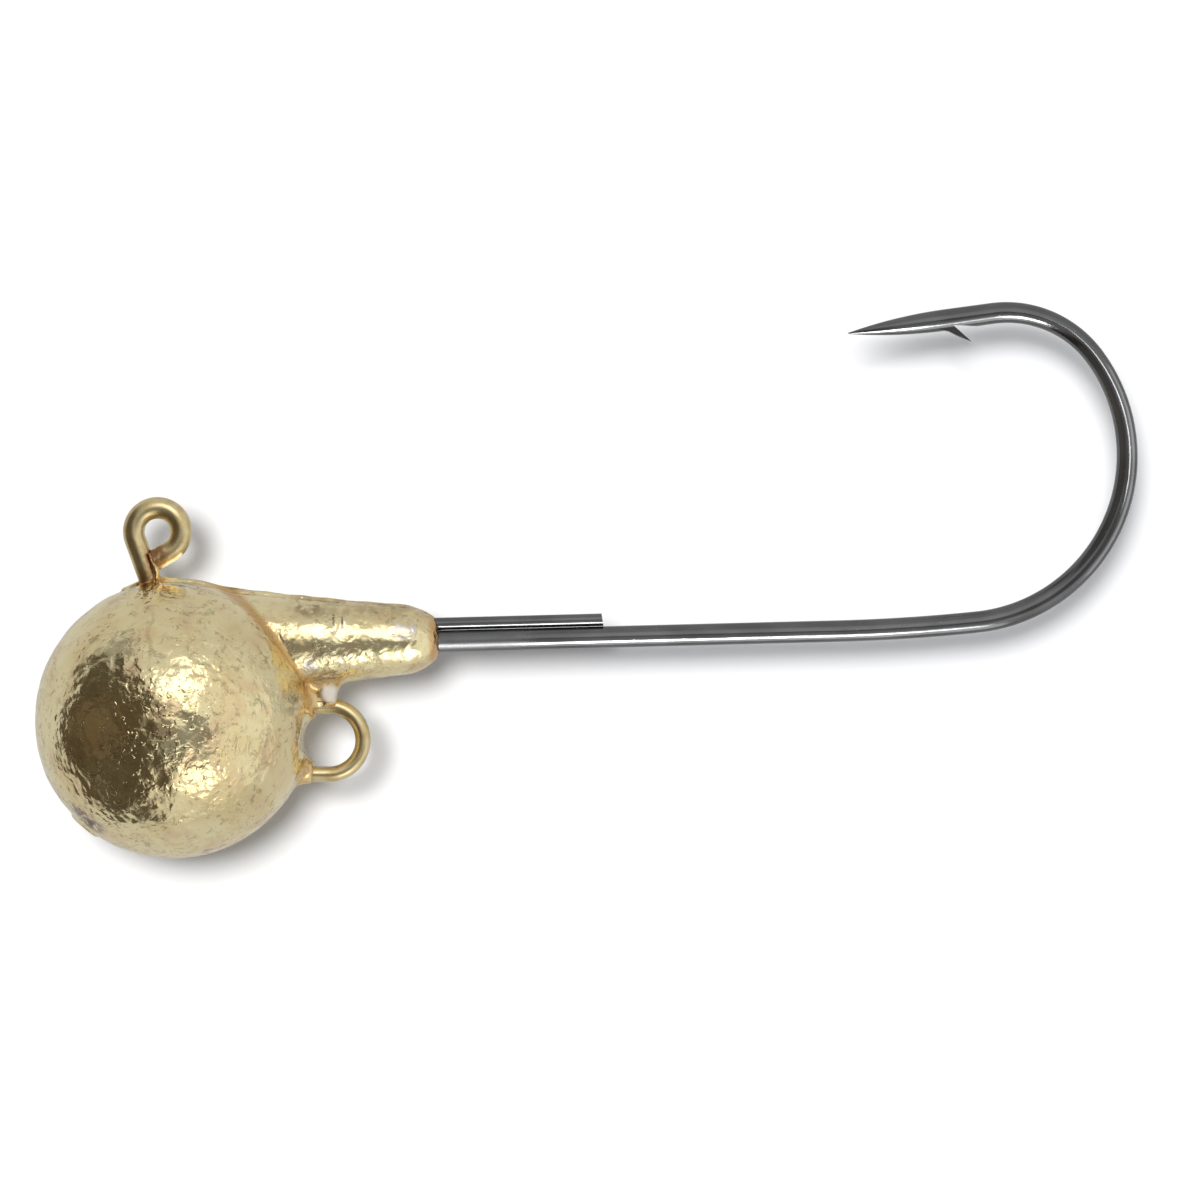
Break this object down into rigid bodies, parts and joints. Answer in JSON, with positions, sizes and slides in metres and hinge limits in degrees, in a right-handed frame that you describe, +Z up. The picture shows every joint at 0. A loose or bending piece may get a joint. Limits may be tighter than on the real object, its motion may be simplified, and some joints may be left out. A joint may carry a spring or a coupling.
{
  "type": "jig head",
  "caption": "Round cast jig head on a long-shank barbed hook, with a line-tie eye, a stinger ring under the collar and a straight bait-keeper pin.",
  "frame": {"origin": "centre of the line-tie eye's loop", "axes": "+X along the shank towards the hook's bend, +Z up out of the eye, the way the line leaves, and +Y across the hook's plane, which is XZ"},
  "size_m": [0.0661, 0.0166, 0.0334],
  "materials": {
    "gilt_lead": "gold-plated rough lead casting, bright with a hammered skin",
    "gilt_wire": "gold-plated steel wire, smooth and glossy",
    "black_nickel": "black nickel plate on tempered steel wire, glossy"
  },
  "bodies": {
    "root": {"head_casting": "gilt_lead", "hook": "black_nickel", "line_tie_eye": "gilt_wire", "stinger_ring": "gilt_wire", "keeper_pin": "black_nickel"}
  },
  "joints": []
}
